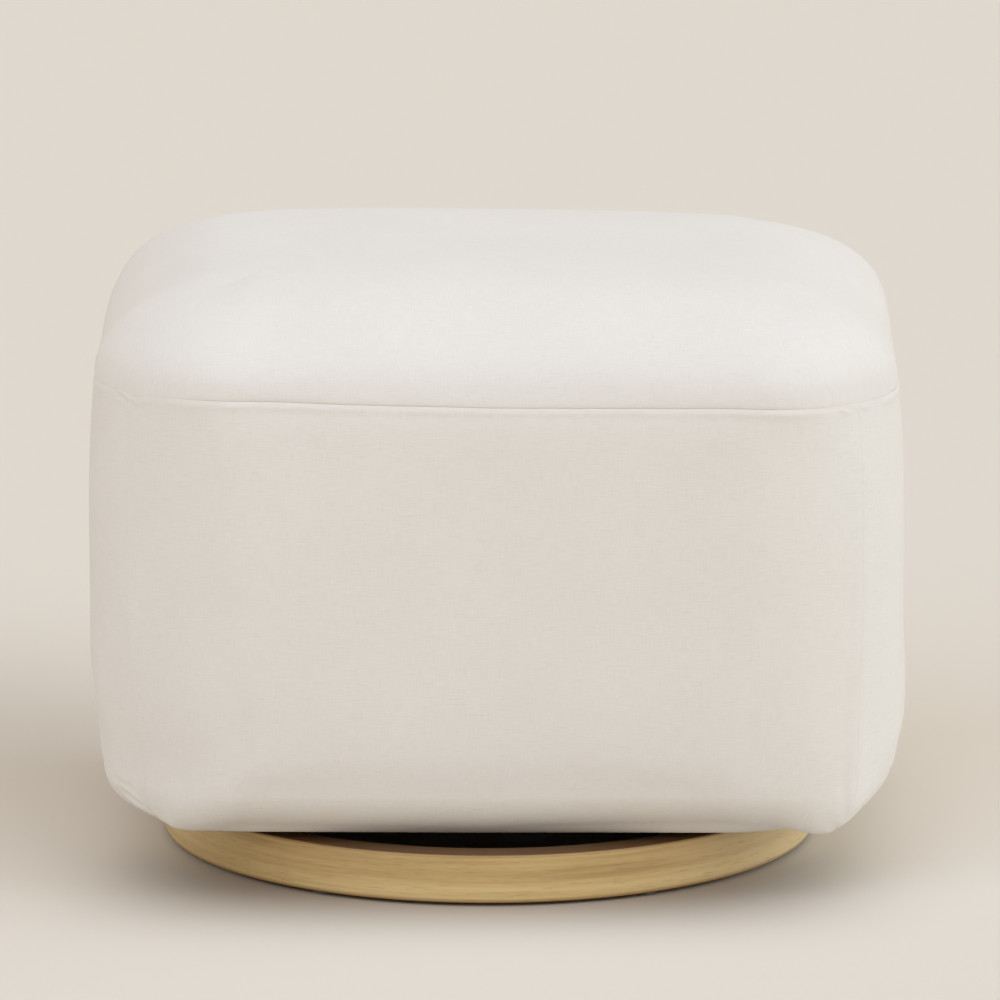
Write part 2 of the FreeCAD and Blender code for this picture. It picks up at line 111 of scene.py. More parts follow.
class Shader:  # one material with its nodes
    def __init__(self, name):
        self.material = bpy.data.materials.new(name)
        self.material.use_nodes = True
        self.nodes = self.material.node_tree.nodes
        self.links = self.material.node_tree.links
        self.nodes.clear()

    def add(self, kind, settings=None, sockets=None, output=0):
        node = self.nodes.new("ShaderNode" + kind)
        for name, value in (settings or {}).items():
            if name == "stops":
                ramp = node.color_ramp
                ramp.elements[0].position, ramp.elements[1].position = value[0][0], value[-1][0]
                for place, _ in value[1:-1]:
                    ramp.elements.new(place)
                for element, (_, colour) in zip(ramp.elements, value):
                    element.color = colour
            else:
                setattr(node, name, value)
        for name, value in (sockets or {}).items():
            if isinstance(value, Wire):
                self.links.new(value.socket, node.inputs[name])
            else:
                node.inputs[name].default_value = value
        return Wire(self, node.outputs[output])

    def place(self, stretch=(1, 1, 1)):  # object coordinates, stretched
        spot = self.add("TexCoord", output="Object")
        return self.add("VectorMath", {"operation": "MULTIPLY"}, {0: spot, 1: stretch})

    def speckle(self, where, scale, detail=2.0, rough=0.5):
        return self.add("TexNoise", None,
                        {"Vector": where, "Scale": scale, "Detail": detail, "Roughness": rough})

    def blend(self, share, first, second):
        return self.add("Mix", {"data_type": "RGBA"}, {0: share, 6: first, 7: second}, output=2)

    def join(self, x, y, z):
        return self.add("CombineXYZ", None, {0: x, 1: y, 2: z})

    def split(self, vector):
        node = self.nodes.new("ShaderNodeSeparateXYZ")
        self.links.new(vector.socket, node.inputs[0])
        return [Wire(self, node.outputs[i]) for i in range(3)]

    def finish(self, colour, roughness, height=None, depth=0.0005, strength=0.6, **fixed):
        sockets = {"Base Color": colour, "Roughness": roughness}
        sockets.update({name.replace("_", " "): value for name, value in fixed.items()})
        if height is not None:
            sockets["Normal"] = self.add("Bump", None,
                                         {"Height": height, "Distance": depth, "Strength": strength})
        surface = self.add("BsdfPrincipled", None, sockets)
        out = self.nodes.new("ShaderNodeOutputMaterial")
        self.links.new(surface.socket, out.inputs["Surface"])
        return self.material


def tint(red, green, blue):  # a colour as a paint chart gives it, 0 to 255
    channel = [c / 255 for c in (red, green, blue)]
    return tuple(c / 12.92 if c <= 0.04045 else ((c + 0.055) / 1.055) ** 2.4 for c in channel) + (1.0,)


linenFinish = {
    "pitch": 0.00085,            # from one thread to the next
    "wander": 0.0012,            # how far a thread strays, and how often
    "wanderScale": 160.0,
    "yarnAcross": 90.0, "yarnDown": 1500.0,
    "slubAcross": 55.0, "slubDown": 900.0,
    "light": tint(236, 233, 229),
    "dark": tint(224, 220, 213),
    "slub": tint(214, 208, 198),
}


def linenMaterial():
    cloth = Shader("ivoryLinen")
    along = cloth.add("UVMap", {"uv_map": "fabric"})
    u, v, _ = cloth.split(along)
    stray = cloth.speckle(along, linenFinish["wanderScale"], 1.0) - 0.5
    sag = cloth.speckle(cloth.join(v, u, 3.0), linenFinish["wanderScale"], 1.0) - 0.5
    turn = math.pi / linenFinish["pitch"]
    across = (u + stray * linenFinish["wander"]) * turn
    down = (v + sag * linenFinish["wander"]) * turn
    lap = (across.sine() * down.sine()).above(0.0, 0.25)
    warp, weft = abs(across.sine()), abs(down.sine())
    weave = warp * lap + weft * (1.0 - lap)
    wide, fine = linenFinish["slubAcross"], linenFinish["slubDown"]
    slubAcross = cloth.speckle(cloth.join(u * wide, v * fine, 0.0), 1.0, 1.0).above(0.67, 0.05)
    slubDown = cloth.speckle(cloth.join(u * fine, v * wide, 5.0), 1.0, 1.0).above(0.68, 0.05)
    wide, fine = linenFinish["yarnAcross"], linenFinish["yarnDown"]
    yarn = cloth.speckle(cloth.join(u * wide, v * fine, 9.0), 1.0, 2.0)
    yarn = yarn + cloth.speckle(cloth.join(u * fine, v * wide, 12.0), 1.0, 2.0)
    cloud = cloth.speckle(along, 9.0, 3.0)
    shade = (yarn - 1.0) * 0.9 + (cloud - 0.5) * 0.5 + 0.35
    colour = cloth.blend(shade, linenFinish["light"], linenFinish["dark"])
    colour = cloth.blend(slubAcross * 0.16 + slubDown * 0.10, colour, linenFinish["slub"])
    height = weave * 0.35 + slubAcross * 0.3 + slubDown * 0.2 + (yarn - 1.0) * 0.5
    return cloth.finish(colour, 0.92, height, depth=0.00035, strength=0.5,
                        Sheen_Weight=0.08, Sheen_Roughness=0.6)


woodFinish = {
    "bend": 0.24,                            # radius that the grain runs along
    "rightEnd": (0.175, 0.075), "leftEnd": (0.20, 0.05),    # where the ends are painted lighter, as painted light, and how softly
    # heights where painted shade is laid along the edges and over the top face
    "upperEdge": (0.0366, 0.0010), "lowerEdge": (0.0052, 0.0014), "topFace": (0.0381, 0.0002),
    "tones": [(0.34, tint(166, 134, 82)), (0.50, tint(198, 168, 112)),
              (0.62, tint(214, 187, 130)), (0.78, tint(227, 203, 149))],
    "paintedEndLight": tint(240, 218, 174),
    "pore": tint(140, 104, 62),
    # painted shade along the ring's upper and lower edges
    "edge": tint(132, 92, 42),
    "topFaceShade": tint(88, 56, 34),               # painted shade of the top face, which lies under the box
}


def woodMaterial():
    wood = Shader("paleOak")
    x, y, z = wood.split(wood.place())
    angle = wood.add("Math", {"operation": "ARCTAN2"}, {0: x, 1: 0.0 - y})
    radius = (x * x + y * y) ** 0.5
    arc = angle * woodFinish["bend"]
    grain = wood.speckle(wood.join(arc * 5.0, z * 160.0, radius * 160.0), 1.0, 5.0, 0.62)
    bands = wood.speckle(wood.join(arc * 2.2, z * 34.0, radius * 34.0), 1.0, 2.0)
    pores = wood.speckle(wood.join(arc * 55.0, z * 1100.0, radius * 1100.0), 1.0, 1.0).above(0.66, 0.05)
    tone = grain * 0.55 + bands * 0.55
    colour = wood.add("ValToRGB", {"stops": woodFinish["tones"]}, {0: tone})
    # painted light: the two ends of the ring are painted paler, where the lamps would light them more
    ends = x.above(*woodFinish["rightEnd"]) * 0.6 + (0.0 - x).above(*woodFinish["leftEnd"]) * 0.3
    colour = wood.blend(ends, colour, woodFinish["paintedEndLight"])
    colour = wood.blend(pores * 0.35, colour, woodFinish["pore"])
    # painted shade: the upper and lower edges are darkened, standing in for the shade under the box and at
    # the rounded foot
    edge = z.above(*woodFinish["upperEdge"]) + (1.0 - z.above(*woodFinish["lowerEdge"]))
    colour = wood.blend(edge * 0.55, colour, woodFinish["edge"])
    # painted shade: the top face is darkened where the box above keeps the light from it
    colour = wood.blend(z.above(*woodFinish["topFace"]) * 0.8, colour, woodFinish["topFaceShade"])
    return wood.finish(colour, grain * 0.15 + 0.42, grain * 0.6 - pores * 0.8, depth=0.0002, strength=0.5,
                       Coat_Weight=0.12, Coat_Roughness=0.35)


plainFinishes = {  # two tones clouded together, over a fine grain that gives the relief
    "black_steel": {
        "name": "blackPowderCoat", "dark": tint(46, 38, 33), "light": tint(62, 52, 46),
        "cloud": (22.0, 3.0), "grain": (1400.0, 2.0),
        "roughness": (0.16, 0.4), "depth": 0.00012, "strength": 0.5,
    },
    "zinc_steel": {
        "name": "zincPlate", "dark": tint(168, 172, 178), "light": tint(205, 206, 204),
        "cloud": (180.0, 3.0), "grain": (1.0, 1.0), "stretch": (2600.0, 2600.0, 300.0),
        "roughness": (0.22, 0.24), "depth": 0.00004, "strength": 0.4, "metal": 1.0,
    },
    "nylon": {
        "name": "naturalNylon", "dark": tint(214, 210, 198), "light": tint(228, 225, 215),
        "cloud": (60.0, 2.0), "grain": (700.0, 2.0),
        "roughness": (0.12, 0.38), "depth": 0.0001, "strength": 0.4,
    },
    "rubber": {
        "name": "blackRubber", "dark": tint(26, 26, 27), "light": tint(40, 40, 41),
        "cloud": (60.0, 2.0), "grain": (1100.0, 2.0),
        "roughness": (0.12, 0.68), "depth": 0.0001, "strength": 0.4,
    },
}


def plainMaterial(look):
    plain = Shader(look["name"])
    cloud = plain.speckle(plain.place(), *look["cloud"])
    grain = plain.speckle(plain.place(look.get("stretch", (1, 1, 1))), *look["grain"])
    share, least = look["roughness"]
    return plain.finish(plain.blend(cloud, look["dark"], look["light"]), cloud * share + least, grain,
                        depth=look["depth"], strength=look["strength"], Metallic=look.get("metal", 0.0))


plyFinish = {"veneer": 0.0032, "along": 4.0, "across": 150.0}


def plyMaterial(name, stack):  # stack is the axis that the veneers are glued up along
    ply = Shader(name)
    stretch = [plyFinish["across"]] * 3
    stretch[(stack + 1) % 3] = plyFinish["along"]
    layer = ply.split(ply.place())[stack]
    veneer = (layer * (2 * math.pi / plyFinish["veneer"])).sine().above(0.0, 0.25)
    grain = ply.speckle(ply.place(stretch), 1.0, 5.0, 0.6)
    knots = ply.speckle(ply.place((9.0, 9.0, 9.0)), 1.0, 2.0)
    colour = ply.blend(grain * 0.7 + knots * 0.3, tint(176, 142, 100), tint(222, 196, 152))
    colour = ply.blend(veneer * 0.3, colour, tint(150, 112, 74))
    return ply.finish(colour, 0.72, grain - veneer * 0.3, depth=0.0003, strength=0.5)


def softwoodMaterial():
    pine = Shader("sawnPine")
    rings = pine.speckle(pine.place((3.0, 55.0, 55.0)), 1.0, 2.0)
    bands = (rings * 60.0).sine().above(0.2, 0.8)
    fibre = pine.speckle(pine.place((12.0, 500.0, 500.0)), 1.0, 3.0)
    colour = pine.blend(bands, tint(226, 196, 146), tint(198, 156, 100))
    colour = pine.blend(fibre * 0.3, colour, tint(168, 124, 78))
    return pine.finish(colour, 0.75, fibre, depth=0.0003, strength=0.6)


def fibreMaterial(name, dark, light, scale, depth, roughness=0.9):
    mat = Shader(name)
    fuzz = mat.speckle(mat.place(), scale, 4.0, 0.7)
    clump = mat.speckle(mat.place(), scale / 12, 2.0)
    colour = mat.blend(fuzz * 0.6 + clump * 0.4, dark, light)
    return mat.finish(colour, roughness, fuzz, depth=depth, strength=0.8)


def foamMaterial():
    foam = Shader("cutFoam")
    cells = foam.add("TexVoronoi", None, {"Vector": foam.place(), "Scale": 900.0})
    cloud = foam.speckle(foam.place(), 14.0, 2.0)
    colour = foam.blend(cloud, tint(236, 226, 190), tint(244, 238, 214))
    return foam.finish(colour, 0.95, cells, depth=0.0004, strength=0.8)


def liningMaterial():  # spunbond, with its small pressed dots
    thin = Shader("blackSpunbond")
    dotPitch = 0.0016
    x, y, _ = thin.split(thin.place())
    turn = 2 * math.pi / dotPitch
    dots = ((x * turn).sine() * (y * turn).sine()).above(0.45, 0.2)
    fuzz = thin.speckle(thin.place((900.0, 900.0, 900.0)), 1.0, 3.0)
    colour = thin.blend(fuzz * 0.7, tint(44, 34, 28), tint(66, 52, 44))
    return thin.finish(colour, 0.85, fuzz * 0.6 - dots, depth=0.0002, strength=0.7)


finishes = {
    "ivory_linen": linenMaterial(),
    "light_wood": woodMaterial(),
    "plywood": plyMaterial("birchPlyFlat", 2),
    "softwood": softwoodMaterial(),
    "fibreboard": fibreMaterial("bentHardboard", tint(98, 68, 42), tint(140, 102, 66), 500.0, 0.0002, 0.7),
    "foam": foamMaterial(),
    "wadding": fibreMaterial("polyesterWadding", tint(226, 226, 224), tint(248, 248, 247), 260.0, 0.0012),
    "felt": fibreMaterial("greyFelt", tint(70, 64, 57), tint(104, 97, 88), 900.0, 0.0006),
    "black_lining": liningMaterial(),
}
finishes.update({slotName: plainMaterial(look) for slotName, look in plainFinishes.items()})
plyAcross = {"front_board": plyMaterial("birchPlyFront", 1), "left_board": plyMaterial("birchPlySide", 0)}
plyAcross["back_board"], plyAcross["right_board"] = plyAcross["front_board"], plyAcross["left_board"]
for name, node in nodes.items():
    for holder in node.material_slots:
        holder.material = plyAcross.get(name) or finishes[holder.material.name]
print("finishes made")


form = {  # the same numbers as in the part's source
    "halfWidth": 0.300, "halfDepth": 0.250, "cornerRadius": 0.105, "tightening": 0.6, "leastRadius": 0.020,
    "belly": 0.012, "middle": 0.24835, "halfHeight": 0.20365, "bottom": 0.0447, "lowerEdge": 0.036,
    "shoulder": 0.381, "crown": 0.071, "seam": 0.371, "hem": 0.032,
    "innerInset": 0.200,            # beyond this the rings of the crown shrink in proportion
    "cornerShare": 0.95,            # a corner's radius takes no more than this of the half depth
    "crownSteps": 600,
}
sides = {  # direction along each side, direction out of it, half its length and its distance from the centre
    "Front": ((1, 0), (0, -1), "halfWidth", "halfDepth"),
    "Right": ((0, 1), (1, 0), "halfDepth", "halfWidth"),
    "Back": ((-1, 0), (0, 1), "halfWidth", "halfDepth"),
    "Left": ((0, -1), (-1, 0), "halfDepth", "halfWidth"),
}
wallLength = form["seam"] - form["bottom"] - form["lowerEdge"]
edgeLength = form["lowerEdge"] * math.pi / 2
riser = form["shoulder"] - form["seam"]
crownTurn = np.linspace(0, math.pi / 2, form["crownSteps"])
crownInset = form["halfDepth"] * (1 - np.sqrt(np.abs(np.cos(crownTurn))))
crownHeight = form["shoulder"] + form["crown"] * np.sin(crownTurn)
crownLength = np.concatenate([[0], np.cumsum(np.hypot(np.diff(crownInset), np.diff(crownHeight)))])
topLength = riser + crownLength[-1]


def halfRun(side):  # from the middle of a side to the seam at its corner
    return form[sides[side][2]] + form["cornerRadius"] * (math.pi / 4 - 1)


def aroundCorner(side, share):  # how much of the straight part is used up, then the turn into the corner
    corner = 1 - form["cornerRadius"] * math.pi / 4 / halfRun(side)
    turn = np.clip((np.abs(share) - corner) / (1 - corner), 0, 1) * math.pi / 4
    return np.minimum(np.abs(share) / corner, 1), turn


def seenFromAbove(side, run, reach):  # x and y of points along a side and out from the middle
    along, out = sides[side][:2]
    return run * along[0] + reach * out[0], run * along[1] + reach * out[1]


def levelPoints(side, share, inset, tuck, z):
    longName, deepName = sides[side][2:]
    swell = form["belly"] * ((z - form["middle"]) / form["halfHeight"]) ** 2
    shrink = np.where(inset > form["innerInset"],
                      (form["halfDepth"] - inset) / (form["halfDepth"] - form["innerInset"]), 1.0)
    level = np.minimum(inset, form["innerInset"])
    a = form[longName] - level - swell - tuck
    b = form[deepName] - level - swell - tuck
    least = form["halfDepth"] - level - swell - tuck
    tight = form["cornerRadius"] - form["tightening"] * (level + tuck)
    r = np.minimum(np.maximum(tight, form["leastRadius"]), form["cornerShare"] * least)
    straight, turn = aroundCorner(side, share)
    run = np.sign(share) * ((a - r) * straight + r * np.sin(turn)) * shrink
    reach = (b - r + r * np.cos(turn)) * shrink
    return np.stack([*seenFromAbove(side, run, reach), z], axis=1)


def wallPoints(side, share, drop):  # drop is how far down the cloth a point is from the seam
    turn = np.clip((drop - wallLength) / form["lowerEdge"], 0, math.pi / 2)
    inset = form["lowerEdge"] * (1 - np.cos(turn))
    z = np.where(drop <= wallLength, form["seam"] - drop,
                 form["bottom"] + form["lowerEdge"] * (1 - np.sin(turn)))
    return levelPoints(side, share, inset, np.maximum(drop - wallLength - edgeLength, 0), z)


def crownPoints(side, share, climb):  # climb is how far up the cloth a point is from the seam
    over = np.maximum(climb - riser, 0)
    z = np.where(climb < riser, form["seam"] + climb, np.interp(over, crownLength, crownHeight))
    return levelPoints(side, share, np.interp(over, crownLength, crownInset), 0.0, z)


cover = {
    "pitch": 0.0038,                # between the rows and columns of the mesh
    "foldPitch": 0.0014,            # the same where there are folds
    "foldRows": (0.292, 0.334),     # from and to, down from the top seam
    "foldColumns": (0.0133, 0.038),     # and from the corner seams
    "clear": 0.0006,                # least gap between a coarse row and a fine one
    "thickness": 0.0015,
    "topGroove": 0.0006,            # depth and half width of the seam round the top
    "topRoll": 0.0030,
    "cornerGroove": 0.00009,        # and of the seams down the corners
    "cornerRoll": 0.0010,
    "flatter": (0.88, 0.66, 0.92),  # how much the top seam fades round the corners, from where to where
    "proud": 0.0011,                # how far the top seam stands out, and over what width
    "proudWidth": 0.03,
    "ridge": 0.0006,                # where the seam allowance lies under the sides
    "ridgePlace": 0.0040,
    "ridgeWidth": 0.0024,
    "ridgeWave": (0.6, 60, 7.31),   # its unevenness: share, scale and place in the noise
    "ridgeFade": (0.75, 0.8, 0.95),
    "fill": 0.85,
}
nearSeam = [0, 0.0002, 0.0005, 0.0009, 0.0014, 0.002, 0.0027,       # distances of the first rows
            0.0036, 0.0048, 0.0063, 0.0082, 0.0105, 0.0133]


def rowsTo(total, low=0.0, high=0.0):  # distances from a seam, close together beside it and from low to high
    start = nearSeam[-1]
    steps = max(2, round((total - start) / cover["pitch"]))
    rows = np.array(nearSeam + [start + (total - start) * (i + 1) / steps for i in range(steps)])
    if high > low:
        fine = np.linspace(low, high, max(2, round((high - low) / cover["foldPitch"])))
        rows = rows[(rows < low - cover["clear"]) | (rows > high + cover["clear"])]
        rows = np.sort(np.concatenate([rows, fine]))
    return rows


def placed(name, data):  # a new object in the scene
    thing = bpy.data.objects.new(name, data)
    bpy.context.scene.collection.objects.link(thing)
    return thing


def meshObject(bm, name):
    mesh = bpy.data.meshes.new(name)
    bm.to_mesh(mesh)
    bm.free()
    return placed(name, mesh)


def shape(bm, points, lift):  # sets each point, then moves it out along the surface
    for vert, point in zip(bm.verts, points):
        vert.co = point
    bm.normal_update()
    normals = [v.normal.copy() for v in bm.verts]
    for vert, normal, amount in zip(bm.verts, normals, lift):
        vert.co += normal * amount


def thicken(piece, name, thickness):  # the mesh is the outer face
    shell = piece.modifiers.new(name, "SOLIDIFY")
    shell.thickness = thickness
    shell.offset = -1


def dress(piece, stands):
    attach(piece, "seat")
    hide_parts(stands)


def gridPlaces(verts, across, down):  # the column and row of each point of a grid
    spot = np.array([v.co[:2] for v in verts])
    column = np.rint((spot[:, 0] + 1) / 2 * across).astype(int)
    row = np.rint((spot[:, 1] + 1) / 2 * down).astype(int)
    return column, row


def flatGrid(across, down):
    bm = bmesh.new()
    bmesh.ops.create_grid(bm, x_segments=across, y_segments=down, size=1.0)
    if len(bm.verts) != (across + 1) * (down + 1):
        raise ValueError("the grid has other rows than asked for")
    column, row = gridPlaces(bm.verts, across, down)
    return bm, column, row


def rolled(distance, depth, width):  # a cloth edge that turns down into a seam
    near = np.clip(distance / width, 0, 1)
    return -depth * (1 - np.sqrt(1 - (1 - near) ** 2))


def ease(value, low, high):  # 0 below low, 1 above high, smooth between
    t = np.clip((value - low) / (high - low), 0, 1)
    return t * t * (3 - 2 * t)


def bell(value, middle, width):
    return np.exp(-((value - middle) / width) ** 2)


padding = {
    "pitch": 0.011,
    "coverGap": 0.0034,             # from the outer face of the cover to the padding behind it
    "sideSpare": 0.0004,            # and a little more for the sides and for the top block
    "topSpare": 0.0006,
    "wadding": 0.0040,
    "deck": 0.3722, "underDeck": 0.3716,
    "low": 0.0468,
    "lastRow": 0.001,               # the foam stops this short of the cover's lower edge
    "weld": 0.00005,
    "frameHalfWidth": 0.2482, "frameHalfDepth": 0.1982, "frameCorner": 0.0794,
    "sideFill": 0.9, "topFill": 0.85, "waddingFill": 0.6,
}

settling = {  # how far the soft box departs from its drawing, in metres
    "lean": (0.0074, 0.046, 0.115),     # the padding lies to the right: move, and the heights it grows over
    "crownTilt": (0.0026, 0.25, 0.385, 0.44),   # the top is fuller at the left: drop, half width, heights
    "crownHeights": (0.385, 0.43),
    "crownSink": 0.0006,
    "crownDents": [                     # depth, place and half width; whether it is on both sides
        (0.0018, 0.165, 0.06, True), (-0.0012, 0.245, 0.04, False), (0.0012, -0.17, 0.05, False),
    ],
    "flanks": [     # outward move, height, half height, where it starts and is full, side (0 is both)
        (-0.0019, form["seam"], 0.040, 0.20, 0.27, 0),
        (-0.0038, 0.076, 0.050, 0.20, 0.27, -1),
        (0.0042, 0.078, 0.036, 0.20, 0.27, 1),
        (-0.0018, 0.25, 0.11, 0.12, 0.26, 0),
    ],
    "lowerEdge": 0.034,                 # half height of what the lower edge does
    "front": (0.19, 0.215), "back": (0.17, 0.21),
    "lowerEdgeAt": [-0.26, -0.235, -0.18, -0.12, 0.0, 0.08, 0.17, 0.21, 0.235, 0.262],
    "lowerEdgeLift": [0, -0.0080, 0.0052, 0.0042, 0.0026, 0.0064, 0.0080, 0.0046, -0.0048, -0.006],
    "backWave": (0.0018, 21, 1), "sideWave": (0.0016, 25), "seamWave": (0.0012, 17),
    "seamBand": 0.03,
    "seamHalves": (0.3, 0.25), "seamShell": (0.8, 0.93), "seamFront": 0.2,
    "seamAt": [-0.30, -0.235, -0.155, -0.105, -0.03, 0.0, 0.17, 0.24, 0.30],
    "seamLift": [0.005, 0.005, 0.0042, 0.0022, 0.0007, 0, 0, -0.0016, -0.0016],
    "bumps": [  # middle, reach, move
        ((-0.268, -0.215, 0.074), 0.055, (0.0050, 0.0050, 0.0022)),    # slack corner at the lower left
        ((0.266, -0.205, 0.056), 0.030, (0.0050, -0.0030, -0.0030)),
        ((0.250, -0.214, 0.047), 0.016, (0.0020, -0.0020, -0.0095)),   # gathered tip at the lower right
        ((-0.270, 0.05, 0.420), 0.110, (-0.0042, 0.0, 0.0030)),        # shoulders
        ((-0.240, 0.10, 0.440), 0.080, (0.0, 0.0, 0.0025)),
        ((0.270, 0.05, 0.425), 0.080, (0.0014, 0.0, 0.0020)),
        ((0.290, -0.05, 0.095), 0.075, (0.0045, 0.0, -0.0010)),        # right side, low down
        ((0.290, 0.12, 0.095), 0.075, (0.0040, 0.0, -0.0010)),
        ((0.262, 0.208, 0.047), 0.018, (0.0020, 0.0020, -0.0020)),     # rear corners
        ((-0.262, 0.208, 0.050), 0.030, (0.0020, -0.0020, 0.0010)),
    ],
    "boardHeights": (0.050, 0.066),     # the hem stays on the board below these, and inside its edge
    "boardEdge": (0.001, 0.020),
    "swell": 0.0026,                    # what the padding adds, where, and its fade at the corners
    "swellAt": (0.135, 0.05), "swellFade": 0.06,
    "swellShare": {"Left": 1.0, "Right": 1.2, "Front": 0.5, "Back": 0.6},
}


def settled(points):
    x, y, z = points[:, 0].copy(), points[:, 1].copy(), points[:, 2].copy()
    moved = points.copy()
    lean, start, full = settling["lean"]
    moved[:, 0] += lean * ease(z, start, full)
    tilt, half, start, full = settling["crownTilt"]
    moved[:, 2] -= tilt * (x / half) * ease(z, start, full)
    dents = sum(depth * bell(np.abs(x) if both else x, place, width)
                for depth, place, width, both in settling["crownDents"])
    moved[:, 2] -= ease(z, *settling["crownHeights"]) * (dents + settling["crownSink"])
    for outward, height, width, start, full, hand in settling["flanks"]:
        reach = hand * x if hand else np.abs(x)
        moved[:, 0] += np.sign(x) * outward * bell(z, height, width) * ease(reach, start, full)
    low = bell(z, form["bottom"], settling["lowerEdge"])
    front, back = ease(-y, *settling["front"]), ease(y, *settling["back"])
    moved[:, 2] += low * front * np.interp(x, settling["lowerEdgeAt"], settling["lowerEdgeLift"])
    size, turns, shift = settling["backWave"]
    moved[:, 2] += low * back * size * np.sin(x * turns + shift)
    size, turns = settling["sideWave"]
    moved[:, 2] += low * (1 - front) * (1 - back) * size * np.sin(y * turns + np.sign(x))
    halfWidth, halfDepth = settling["seamHalves"]
    shell = np.maximum(np.abs(x) / halfWidth, np.abs(y) / halfDepth)
    seamBand = bell(z, form["seam"], settling["seamBand"]) * ease(shell, *settling["seamShell"])
    size, turns = settling["seamWave"]
    frontSeam = ease(-y, 0.0, settling["seamFront"]) * np.interp(x, settling["seamAt"], settling["seamLift"])
    backSeam = ease(y, 0.0, settling["seamFront"]) * size * np.sin(x * turns)
    moved[:, 2] += seamBand * (frontSeam + backSeam)
    for middle, reach, move in settling["bumps"]:
        gap = np.linalg.norm(points - np.array(middle), axis=1)
        moved += np.exp(-(gap / reach) ** 2)[:, None] * np.array(move)
    a, b, r = padding["frameHalfWidth"], padding["frameHalfDepth"], padding["frameCorner"]
    beyond = np.hypot(np.maximum(np.abs(x) - a + r, 0), np.maximum(np.abs(y) - b + r, 0)) - r
    free = np.maximum(ease(z, *settling["boardHeights"]), ease(beyond, *settling["boardEdge"]))
    return points + (moved - points) * free[:, None]


def swelling(side, toCorner, drop):  # what the padding adds along the surface's own direction
    wall = np.where(drop < wallLength, form["seam"] - drop, form["bottom"])
    amount = settling["swell"] * settling["swellShare"][side]
    flank = amount * bell(wall, *settling["swellAt"]) * ease(toCorner, 0, settling["swellFade"])
    return flank + cover["proud"] * bell(drop, 0.0, cover["proudWidth"])


simulated = {}  # panel name: how the cloth moved at each point of a coarse grid


def cubic(grid, i, j):  # smooth reading of a coarse grid between its points
    def weights(t):
        return [((-0.5 * t + 1) * t - 0.5) * t, (1.5 * t - 2.5) * t * t + 1,
                ((-1.5 * t + 2) * t + 0.5) * t, (0.5 * t - 0.5) * t * t]
    low, left = np.floor(i).astype(int), np.floor(j).astype(int)
    total = 0
    for a, down in enumerate(weights(i - low)):
        for b, over in enumerate(weights(j - left)):
            row = np.clip(low + a - 1, 0, grid.shape[0] - 1)
            column = np.clip(left + b - 1, 0, grid.shape[1] - 1)
            total = total + grid[row, column] * (down * over)[:, None]
    return total


clothTest = {
    "across": 44, "down": 34, "rings": 26,      # squares of the coarse mesh
    "weld": 0.0004,
    "start": 0.0010, "startFade": 0.07,         # how far inside its form the cloth starts
    "heldFade": 0.02, "onSeam": 1e-6,
    "frames": 20,
    "smoothings": 3,
    "cap": 0.0020,                              # no point moves further than this
    "seamFade": 0.012,                          # the move fades out this near to a seam
    "rules": {
        "quality": 6, "mass": 0.3, "tension_stiffness": 18, "compression_stiffness": 18, "shear_stiffness": 6,
        "bending_stiffness": 0.6, "vertex_group_mass": "held", "use_pressure": True,
        "uniform_pressure_force": 4.0,
    },
}


def coarseTables():
    drops = np.linspace(wallLength + edgeLength, 0, clothTest["down"] + 1)
    climbs = np.linspace(topLength, 0, clothTest["rings"] + 1)[::-1]
    return drops, np.linspace(-1, 1, clothTest["across"] + 1), climbs


def sewnGrids():  # the five panels as coarse grids in one mesh, joined where they meet
    drops, columns, climbs = coarseTables()
    bm = bmesh.new()
    layer = bm.verts.layers.int.new("panel")
    panelPoints, toSeam = {}, {}
    for number, side in enumerate(list(sides) + ["Top"]):
        across, down = clothTest["across"], clothTest["down"]
        if side == "Top":
            across = down = 2 * clothTest["rings"]
        made = bmesh.ops.create_grid(bm, x_segments=across, y_segments=down, size=1.0)["verts"]
        column, row = gridPlaces(made, across, down)
        if side == "Top":
            points, _, edge = crownGrid(column, row, climbs)
        else:
            points = wallPoints(side, columns[column], drops[row])
            edge = np.minimum(np.minimum(drops[row], (1 - np.abs(columns[column])) * halfRun(side)),
                              wallLength + edgeLength - drops[row])
        points = settled(points)
        tags = 1 + number + 10 * column + 10000 * row      # one number for the panel, column and row
        for vert, point, tag in zip(made, points, tags):
            vert.co = point
            vert[layer] = int(tag)
        toSeam.update(zip(tags, edge))
        panelPoints[side] = (points, column, row, tags)
    bmesh.ops.remove_doubles(bm, verts=bm.verts, dist=clothTest["weld"])
    bmesh.ops.recalc_face_normals(bm, faces=bm.faces)
    bm.normal_update()
    kept = [v[layer] for v in bm.verts]
    edges = np.array([toSeam[tag] for tag in kept])
    for vert, amount in zip(bm.verts, clothTest["start"] * ease(edges, 0.0, clothTest["startFade"])):
        vert.co -= vert.normal * amount
    return meshObject(bm, "clothTest"), panelPoints, kept, edges


